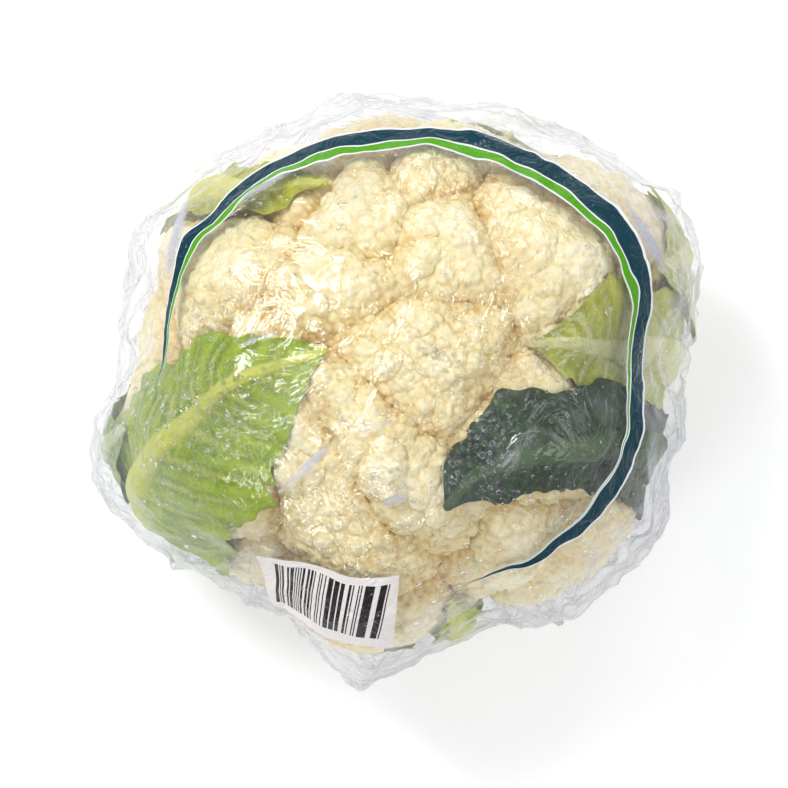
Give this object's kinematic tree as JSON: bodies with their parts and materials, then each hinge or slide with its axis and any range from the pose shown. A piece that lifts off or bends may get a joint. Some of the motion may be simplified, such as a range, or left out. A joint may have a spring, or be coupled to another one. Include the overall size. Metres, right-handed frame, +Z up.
{
  "type": "cauliflower",
  "caption": "Head of cauliflower with its jacket leaves and cut stalk, wrapped in thin clear film with a plain printed ring.",
  "frame": {"origin": "middle of the head's footprint, on the surface it stands on", "axes": "+Z up from the stalk to the crown; +X to the right across the widest way; +Y to the back"},
  "size_m": [0.1588, 0.1512, 0.1084],
  "materials": {
    "curd": "matt, fine-grained curd with tan creases",
    "stalk": "moist cut stalk",
    "pale_leaf": "waxy lime-green leaf with a pale midrib",
    "green_leaf": "waxy green leaf",
    "dark_leaf": "waxy dark blue-green leaf",
    "film": "thin clear glossy film with a plain printed ring"
  },
  "bodies": {
    "root": {"curd": "curd", "stalk": "stalk", "leaf_right": "pale_leaf", "leaf_back": "pale_leaf", "leaf_back_left": "pale_leaf", "leaf_left": "pale_leaf", "leaf_front": "pale_leaf", "leaf_right_outer": "green_leaf", "leaf_back_outer": "green_leaf", "leaf_left_outer": "green_leaf", "leaf_front_outer": "green_leaf", "leaf_dark_outer": "dark_leaf", "film_wrap": "film"}
  },
  "joints": []
}
